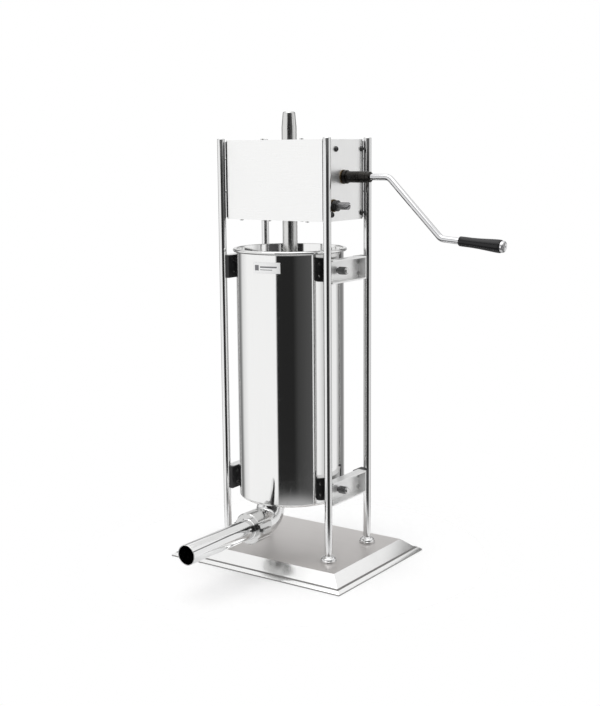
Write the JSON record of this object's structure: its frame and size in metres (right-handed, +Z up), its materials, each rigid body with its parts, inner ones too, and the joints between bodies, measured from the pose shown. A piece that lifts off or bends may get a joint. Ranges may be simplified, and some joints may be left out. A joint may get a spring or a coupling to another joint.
{
  "type": "sausage stuffer",
  "caption": "Vertical hand-cranked sausage stuffer: steel cylinder between posts, geared rack and piston, bent crank, filling tube at the bottom.",
  "frame": {"origin": "centre of the base on the surface it stands on", "axes": "+Z up along the posts, -Y towards the filling tube, +X towards the crank"},
  "size_m": [0.443, 0.3408, 0.5985],
  "materials": {
    "base_steel": "satin top with bright bevels",
    "polished_steel": "polished",
    "mirror_steel": "mirror polished",
    "bright_steel": "turned",
    "dark_steel": "blackened",
    "brushed_sheet": "brushed",
    "satin_cover": "fine satin",
    "dark_screw": "dark burnished",
    "hub_steel": "dark turned",
    "chromed_rod": "bright chrome",
    "gear_steel": "machined, greased",
    "rail_steel": "bright folded sheet",
    "label_foil": "plain printed foil without text",
    "bronze": "sintered bronze",
    "black_nylon": "moulded",
    "black_grip": "glossy moulded",
    "black_rubber": "matte",
    "white_silicone": "food silicone"
  },
  "bodies": {
    "frame": {"base_plate": "base_steel", "blank_plate": "label_foil", "bottom_plate": "brushed_sheet", "bracket_left": "dark_steel", "bracket_right": "dark_steel", "bracket_screws": "bright_steel", "column_screws": "bright_steel", "corner_columns": "dark_steel", "cover_screws": "bright_steel", "cylinder": "mirror_steel", "cylinder_sockets": "bright_steel", "foot_screws": "bright_steel", "front_cover": "satin_cover", "nozzle_seal": "white_silicone", "outlet_elbow": "mirror_steel", "post_blocks": "black_nylon", "post_collars": "polished_steel", "post_nuts": "bright_steel", "posts_front": "polished_steel", "posts_rear": "polished_steel", "rack_guides": "black_nylon", "rack_pad": "black_nylon", "rail_lower_left": "rail_steel", "rail_lower_right": "rail_steel", "rail_screws": "bright_steel", "rail_upper_left": "rail_steel", "rail_upper_right": "rail_steel", "rear_cover": "satin_cover", "rubber_feet": "black_rubber", "shaft_bushes": "bronze", "side_plate_left": "brushed_sheet", "side_plate_right": "brushed_sheet", "side_screws": "dark_screw", "top_plate": "brushed_sheet"},
    "rack": {"rack_rod": "polished_steel", "piston_plate": "satin_cover", "piston_seal": "white_silicone", "piston_nut": "bright_steel"},
    "air_valve": {"air_valve": "white_silicone"},
    "pinion_shaft": {"pinion_shaft": "gear_steel", "rack_pinion": "gear_steel", "slow_gear": "gear_steel", "fast_gear": "gear_steel"},
    "crank": {"crank_shaft": "gear_steel", "crank_pinion": "gear_steel", "crank_hub": "hub_steel", "crank_set_screw": "dark_screw", "crank_arm": "chromed_rod"},
    "grip": {"grip": "black_grip", "grip_cap": "chromed_rod"},
    "fast_shaft": {"fast_shaft": "bright_steel", "fast_pinion": "gear_steel", "fast_collar": "dark_screw"},
    "nozzle": {"nozzle_tube": "mirror_steel"},
    "nozzle_nut": {"nozzle_nut": "polished_steel"},
    "lock_screw_lower_right": {"lock_screw_lower_right": "bright_steel"},
    "lock_screw_lower_left": {"lock_screw_lower_left": "bright_steel"},
    "lock_screw_upper_right": {"lock_screw_upper_right": "bright_steel"},
    "lock_screw_upper_left": {"lock_screw_upper_left": "bright_steel"}
  },
  "joints": [
    {"name": "rack_lift", "type": "slide", "parent": "frame", "child": "rack", "axis": [0, 0, 1], "range_m": [0, 0.33]},
    {"name": "pinion_turn", "type": "hinge", "parent": "frame", "child": "pinion_shaft", "pos_m": [0, 0.0076, 0.4872], "axis": [1, 0, 0], "range_deg": [-1576.63, 1]},
    {"name": "crank_turn", "type": "hinge", "parent": "frame", "child": "crank", "pos_m": [0, -0.0049, 0.5153], "axis": [1, 0, 0], "range_deg": [-1, 3808.78]},
    {"name": "fast_shaft_turn", "type": "hinge", "parent": "frame", "child": "fast_shaft", "pos_m": [0, -0.0284, 0.47982], "axis": [1, 0, 0], "range_deg": [-1, 2714.59]},
    {"name": "grip_spin", "type": "hinge", "parent": "crank", "child": "grip", "pos_m": [0.24592, -0.0049, 0.43974], "axis": [0.9969, 0, -0.0785], "continuous": true},
    {"name": "air_valve_lift", "type": "slide", "parent": "rack", "child": "air_valve", "axis": [0, 0, -1], "range_m": [0, 0.0015]},
    {"name": "nozzle_unscrew", "type": "slide", "parent": "frame", "child": "nozzle", "axis": [0, -1, 0], "range_m": [0, 0.0135]},
    {"name": "nozzle_nut_turn", "type": "hinge", "parent": "nozzle", "child": "nozzle_nut", "pos_m": [0, -0.098, 0.0645], "axis": [0, -1, 0], "range_deg": [-1621, 1]},
    {"name": "lock_screw_lower_right_withdraw", "type": "slide", "parent": "frame", "child": "lock_screw_lower_right", "axis": [1, 0, 0], "range_m": [0, 0.006]},
    {"name": "lock_screw_lower_left_withdraw", "type": "slide", "parent": "frame", "child": "lock_screw_lower_left", "axis": [-1, 0, 0], "range_m": [0, 0.006]},
    {"name": "lock_screw_upper_right_withdraw", "type": "slide", "parent": "frame", "child": "lock_screw_upper_right", "axis": [1, 0, 0], "range_m": [0, 0.006]},
    {"name": "lock_screw_upper_left_withdraw", "type": "slide", "parent": "frame", "child": "lock_screw_upper_left", "axis": [-1, 0, 0], "range_m": [0, 0.006]}
  ],
  "couplings": [
    {"joint": "pinion_turn", "follows": "rack_lift", "rad_per_m": -83.333},
    {"joint": "crank_turn", "follows": "rack_lift", "rad_per_m": 201.39},
    {"joint": "fast_shaft_turn", "follows": "rack_lift", "rad_per_m": 143.52},
    {"joint": "nozzle_nut_turn", "follows": "nozzle_unscrew", "rad_per_m": -2094.4}
  ]
}
